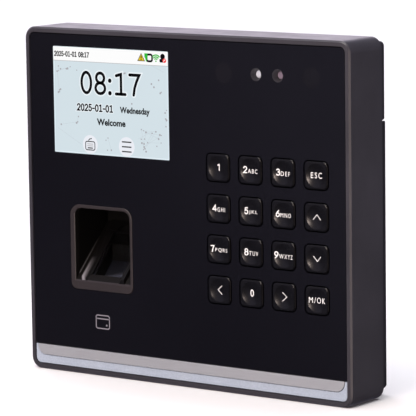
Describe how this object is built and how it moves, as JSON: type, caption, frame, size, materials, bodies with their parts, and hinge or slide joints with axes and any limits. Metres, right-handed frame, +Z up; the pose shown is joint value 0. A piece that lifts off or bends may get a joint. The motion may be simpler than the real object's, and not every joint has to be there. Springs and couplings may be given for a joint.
{
  "type": "fingerprint terminal",
  "caption": "Wall-mounted fingerprint time terminal with colour screen, recessed sloping finger reader, key grid, two cameras, light bar and hook-on wall plate.",
  "frame": {"origin": "centre of the wall plate's four screw holes, on the wall plane", "axes": "+X to the right of a person facing the screen, +Y into the wall, +Z up"},
  "size_m": [0.1676, 0.0322, 0.1488],
  "materials": {
    "adhesive_foam": "closed-cell foam tape",
    "bezel_plastic": "satin",
    "camera_holder_plastic": "moulded",
    "chip_plastic": "moulded",
    "circuit_board": "solder mask",
    "cover_plastic": "fine satin texture",
    "diffuser_white": "diffuse",
    "display_window": "lit display behind a polished clear window",
    "frame_plastic": "satin",
    "housing_plastic": "fine satin texture",
    "ir_window": "polished, infra-red transparent",
    "jack_metal": "nickel plated sheet",
    "key_rubber": "satin",
    "lcd_glass": "polished",
    "lcd_steel": "stamped sheet",
    "lens_glass": "polished",
    "lens_glass_ir": "polished, infra-red tint",
    "light_diffuser": "milky translucent",
    "panel_gloss": "polished",
    "plate_steel": "fine textured powder coat",
    "plunger_plastic": "moulded acetal",
    "ribbon_film": "polyimide film",
    "screw_steel": "zinc plated",
    "sensor_diffuser": "frosted",
    "sensor_glass": "polished optical glass",
    "silicone_mat": "moulded silicone",
    "speaker_plastic": "moulded",
    "terminal_plastic": "moulded",
    "trim_metal": "satin brushed",
    "well_plastic": "fine matt"
  },
  "bodies": {
    "wall_mount": {"wall_plate": "plate_steel", "security_screw": "screw_steel"},
    "terminal": {"front_housing": "housing_plastic", "rear_cover": "cover_plastic", "front_panel": "panel_gloss", "panel_adhesive": "adhesive_foam", "trim_strip": "trim_metal", "light_bar": "light_diffuser", "light_board": "circuit_board", "display_window": "display_window", "lcd_frame": "lcd_steel", "lcd_glass": "lcd_glass", "lcd_backlight": "diffuser_white", "lcd_ribbon": "ribbon_film", "camera_holder": "camera_holder_plastic", "camera_lens_left": "lens_glass", "camera_lens_right": "lens_glass_ir", "camera_board": "circuit_board", "ir_windows": "ir_window", "ir_leds": "diffuser_white", "ir_board": "circuit_board", "keypad_mat": "silicone_mat", "keypad_board": "circuit_board", "finger_bezel": "bezel_plastic", "finger_well": "well_plastic", "sensor_frame": "frame_plastic", "sensor_glass": "sensor_glass", "sensor_housing": "well_plastic", "sensor_diffuser": "sensor_diffuser", "sensor_board": "circuit_board", "card_antenna": "circuit_board", "rear_gasket": "adhesive_foam", "case_screws": "screw_steel", "board_screws": "screw_steel", "main_board": "circuit_board", "main_chips": "chip_plastic", "network_jack": "jack_metal", "usb_port": "jack_metal", "terminal_blocks": "terminal_plastic", "clock_battery": "jack_metal", "speaker": "speaker_plastic", "wifi_antenna": "ribbon_film", "tamper_switch": "chip_plastic"},
    "key_1_body": {"key_1": "key_rubber"},
    "key_2_body": {"key_2": "key_rubber"},
    "key_3_body": {"key_3": "key_rubber"},
    "key_esc_body": {"key_esc": "key_rubber"},
    "key_4_body": {"key_4": "key_rubber"},
    "key_5_body": {"key_5": "key_rubber"},
    "key_6_body": {"key_6": "key_rubber"},
    "key_up_body": {"key_up": "key_rubber"},
    "key_7_body": {"key_7": "key_rubber"},
    "key_8_body": {"key_8": "key_rubber"},
    "key_9_body": {"key_9": "key_rubber"},
    "key_down_body": {"key_down": "key_rubber"},
    "key_left_body": {"key_left": "key_rubber"},
    "key_0_body": {"key_0": "key_rubber"},
    "key_right_body": {"key_right": "key_rubber"},
    "key_ok_body": {"key_ok": "key_rubber"},
    "tamper_plunger_body": {"tamper_plunger": "plunger_plastic"}
  },
  "joints": [
    {"name": "terminal_lift", "type": "slide", "parent": "wall_mount", "child": "terminal", "axis": [0, 0, 1], "range_m": [0, 0.007]},
    {"name": "key_1_press", "type": "slide", "parent": "terminal", "child": "key_1_body", "axis": [0, 1, 0], "range_m": [0, 0.0012], "stiffness_N_per_m": 600},
    {"name": "key_2_press", "type": "slide", "parent": "terminal", "child": "key_2_body", "axis": [0, 1, 0], "range_m": [0, 0.0012], "stiffness_N_per_m": 600},
    {"name": "key_3_press", "type": "slide", "parent": "terminal", "child": "key_3_body", "axis": [0, 1, 0], "range_m": [0, 0.0012], "stiffness_N_per_m": 600},
    {"name": "key_esc_press", "type": "slide", "parent": "terminal", "child": "key_esc_body", "axis": [0, 1, 0], "range_m": [0, 0.0012], "stiffness_N_per_m": 600},
    {"name": "key_4_press", "type": "slide", "parent": "terminal", "child": "key_4_body", "axis": [0, 1, 0], "range_m": [0, 0.0012], "stiffness_N_per_m": 600},
    {"name": "key_5_press", "type": "slide", "parent": "terminal", "child": "key_5_body", "axis": [0, 1, 0], "range_m": [0, 0.0012], "stiffness_N_per_m": 600},
    {"name": "key_6_press", "type": "slide", "parent": "terminal", "child": "key_6_body", "axis": [0, 1, 0], "range_m": [0, 0.0012], "stiffness_N_per_m": 600},
    {"name": "key_up_press", "type": "slide", "parent": "terminal", "child": "key_up_body", "axis": [0, 1, 0], "range_m": [0, 0.0012], "stiffness_N_per_m": 600},
    {"name": "key_7_press", "type": "slide", "parent": "terminal", "child": "key_7_body", "axis": [0, 1, 0], "range_m": [0, 0.0012], "stiffness_N_per_m": 600},
    {"name": "key_8_press", "type": "slide", "parent": "terminal", "child": "key_8_body", "axis": [0, 1, 0], "range_m": [0, 0.0012], "stiffness_N_per_m": 600},
    {"name": "key_9_press", "type": "slide", "parent": "terminal", "child": "key_9_body", "axis": [0, 1, 0], "range_m": [0, 0.0012], "stiffness_N_per_m": 600},
    {"name": "key_down_press", "type": "slide", "parent": "terminal", "child": "key_down_body", "axis": [0, 1, 0], "range_m": [0, 0.0012], "stiffness_N_per_m": 600},
    {"name": "key_left_press", "type": "slide", "parent": "terminal", "child": "key_left_body", "axis": [0, 1, 0], "range_m": [0, 0.0012], "stiffness_N_per_m": 600},
    {"name": "key_0_press", "type": "slide", "parent": "terminal", "child": "key_0_body", "axis": [0, 1, 0], "range_m": [0, 0.0012], "stiffness_N_per_m": 600},
    {"name": "key_right_press", "type": "slide", "parent": "terminal", "child": "key_right_body", "axis": [0, 1, 0], "range_m": [0, 0.0012], "stiffness_N_per_m": 600},
    {"name": "key_ok_press", "type": "slide", "parent": "terminal", "child": "key_ok_body", "axis": [0, 1, 0], "range_m": [0, 0.0012], "stiffness_N_per_m": 600},
    {"name": "tamper_press", "type": "slide", "parent": "terminal", "child": "tamper_plunger_body", "axis": [0, -1, 0], "range_m": [0, 0.0012], "stiffness_N_per_m": 400}
  ]
}
